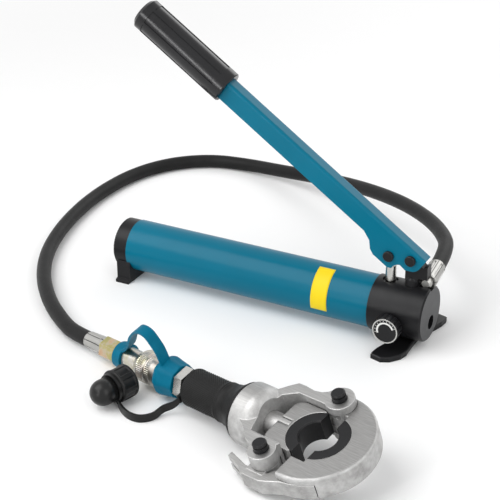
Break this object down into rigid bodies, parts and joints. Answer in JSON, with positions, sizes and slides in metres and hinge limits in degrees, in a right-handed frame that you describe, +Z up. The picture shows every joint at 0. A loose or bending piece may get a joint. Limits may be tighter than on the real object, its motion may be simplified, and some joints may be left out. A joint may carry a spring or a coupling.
{
  "type": "hydraulic pipe crimper",
  "caption": "Hand pump with a lever, a hose and a crimp head: a C-shaped jaw on a hinge and a latch, with a ram that closes two half-round dies on a pipe.",
  "frame": {"origin": "on the floor under the pump head, in the middle of the front foot's underside", "axes": "X runs along the pump from the rear cap to the pump head, Z is up, and the crimp head lies on the -Y side"},
  "size_m": [0.5303, 0.6022, 0.3031],
  "materials": {
    "blue_paint": "glossy blue paint",
    "black_paint": "satin black paint",
    "bright_steel": "polished steel",
    "forged_steel": "satin forged and machined steel",
    "black_oxide": "black oxide finish",
    "yellow_zinc": "yellow passivated zinc",
    "hose_rubber": "matt hose rubber",
    "grip_rubber": "moulded grip rubber",
    "cap_rubber": "soft cap rubber",
    "blue_rubber": "blue cap rubber",
    "knob_plastic": "black moulded plastic",
    "seal_rubber": "oil seal"
  },
  "bodies": {
    "pump": {"pump_head": "black_paint", "front_foot": "black_paint", "front_foot_screws": "black_oxide", "reservoir_tube": "blue_paint", "oil_bladder": "cap_rubber", "rear_cap": "black_paint", "filler_plug": "black_oxide", "rear_foot": "black_paint", "rear_foot_screw": "black_oxide", "plunger_gland": "black_oxide", "plunger_seal": "seal_rubber", "fulcrum_post": "black_oxide", "valve_ball": "bright_steel", "relief_plug": "black_oxide", "outlet_fitting": "bright_steel", "ferrule_pump_end": "bright_steel", "hose": "hose_rubber", "ferrule_head_end": "bright_steel", "hose_end_hex": "yellow_zinc", "coupler_body": "yellow_zinc", "blue_dust_cap": "blue_rubber"},
    "lever": {"handle_lever": "blue_paint", "handle_grip": "grip_rubber", "fulcrum_pin": "black_oxide", "plunger_pin": "black_oxide", "retaining_rings": "black_oxide"},
    "pump_plunger": {"plunger": "bright_steel"},
    "release_valve": {"release_knob": "knob_plastic", "knob_ring": "bright_steel", "release_stem": "bright_steel"},
    "sleeve": {"coupler_sleeve": "yellow_zinc"},
    "head": {"nipple": "bright_steel", "black_cap_strap": "cap_rubber", "black_dust_cap": "cap_rubber", "grip_sleeve": "grip_rubber", "cylinder_yoke": "forged_steel", "hinge_pin": "black_oxide", "latch_pin": "black_oxide"},
    "ram_unit": {"ram": "forged_steel", "ram_seal": "seal_rubber", "die_block": "forged_steel", "block_pin": "black_oxide", "lower_die": "black_oxide"},
    "jaw_unit": {"jaw": "forged_steel", "upper_die": "black_oxide"},
    "latch": {"latch_lever": "forged_steel"}
  },
  "joints": [
    {"name": "lever_swing", "type": "hinge", "parent": "pump", "child": "lever", "pos_m": [0.003, 0, 0.09], "axis": [0, 1, 0], "range_deg": [-33, 22]},
    {"name": "plunger_stroke", "type": "slide", "parent": "pump", "child": "pump_plunger", "axis": [0, 0, 1], "range_m": [-0.0125, 0.0084]},
    {"name": "release_turn", "type": "hinge", "parent": "pump", "child": "release_valve", "pos_m": [-0.0066, -0.03, 0.028], "axis": [0, -1, 0], "range_deg": [0, 90]},
    {"name": "sleeve_turn", "type": "hinge", "parent": "pump", "child": "sleeve", "pos_m": [-0.16591, -0.19198, 0.01977], "axis": [0.9534, -0.2926, 0.0739], "continuous": true},
    {"name": "head_swivel", "type": "hinge", "parent": "pump", "child": "head", "pos_m": [-0.1478, -0.19754, 0.02117], "axis": [0.9534, -0.2926, 0.0739], "range_deg": [-30, 30]},
    {"name": "ram_stroke", "type": "slide", "parent": "head", "child": "ram_unit", "axis": [0.9534, -0.2926, 0.0739], "range_m": [-0.005, 0.0155]},
    {"name": "jaw_swing", "type": "hinge", "parent": "head", "child": "jaw_unit", "pos_m": [0.0284, -0.21421, 0.04466], "axis": [-0.1512, -0.2512, 0.956], "range_deg": [0, 18]},
    {"name": "latch_swing", "type": "hinge", "parent": "head", "child": "latch", "pos_m": [-0.01198, -0.27853, 0.02138], "axis": [-0.1512, -0.2512, 0.956], "range_deg": [-27, 0]}
  ],
  "couplings": [
    {"joint": "plunger_stroke", "follows": "lever_swing", "m_per_rad": 0.0216},
    {"joint": "latch_swing", "follows": "jaw_swing", "ratio": -1.5}
  ]
}
